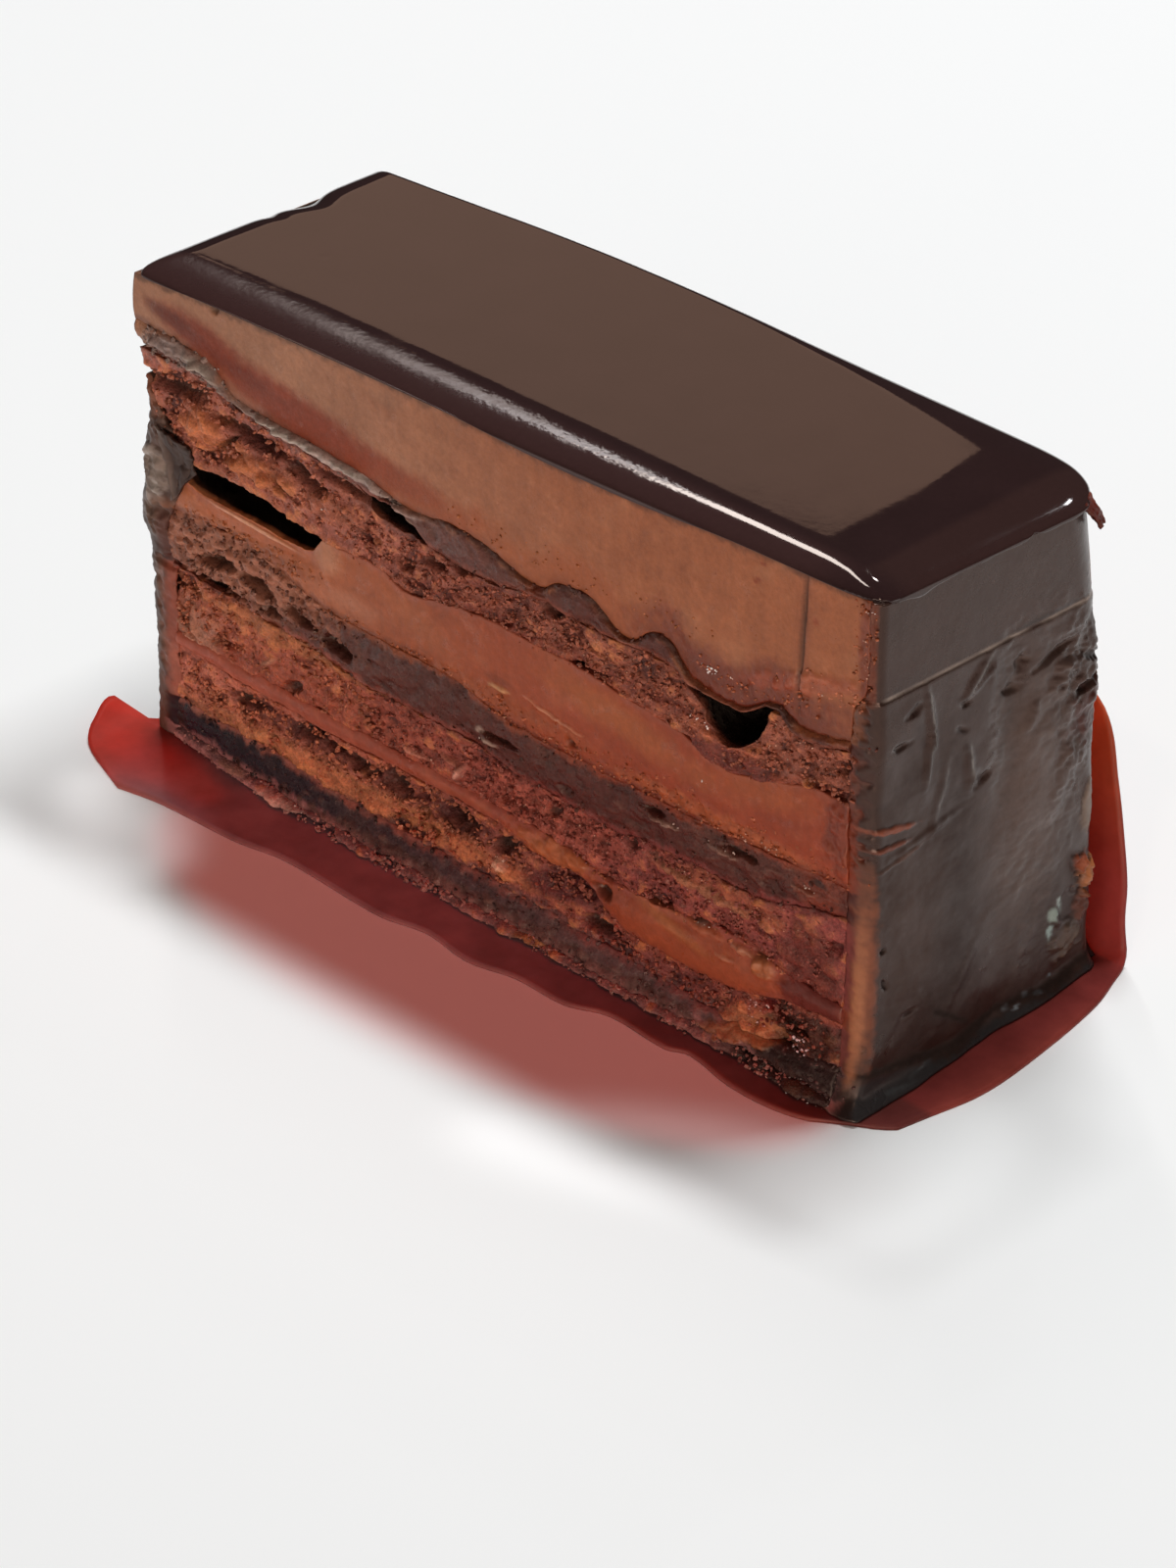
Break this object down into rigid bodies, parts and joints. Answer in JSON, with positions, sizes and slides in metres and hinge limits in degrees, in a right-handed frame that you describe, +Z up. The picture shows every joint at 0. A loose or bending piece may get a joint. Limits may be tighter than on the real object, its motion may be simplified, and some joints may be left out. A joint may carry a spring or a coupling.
{
  "type": "opera cake slice",
  "caption": "Cut slice of opera cake: thin sponges, creams and ganaches under a mirror glaze, with glazed ends, lying on a turned-up film liner.",
  "frame": {"origin": "middle of the whole part's footprint, at the surface it stands on", "axes": "+X along the slice towards its glazed right end, +Y from the cut face to the back, +Z up"},
  "size_m": [0.1024, 0.0462, 0.0495],
  "materials": {
    "glaze": "mirror-glossy dark chocolate glaze",
    "coat": "glossy uneven dark chocolate coat",
    "mousse": "smooth satin milk chocolate mousse",
    "cream": "smooth moist chocolate cream",
    "ganache": "dense dark ganache, slightly moist",
    "sponge": "moist crumbly soaked sponge",
    "liner": "thin translucent red-brown film"
  },
  "bodies": {
    "root": {"glaze_top": "glaze", "mousse_top": "mousse", "ganache_upper": "ganache", "sponge_upper": "sponge", "cream_middle": "cream", "ganache_middle": "ganache", "sponge_middle": "sponge", "cream_lower": "cream", "sponge_lower": "sponge", "ganache_base": "ganache", "sponge_base": "sponge", "coat_right": "coat", "coat_left": "coat", "liner": "liner"}
  },
  "joints": []
}
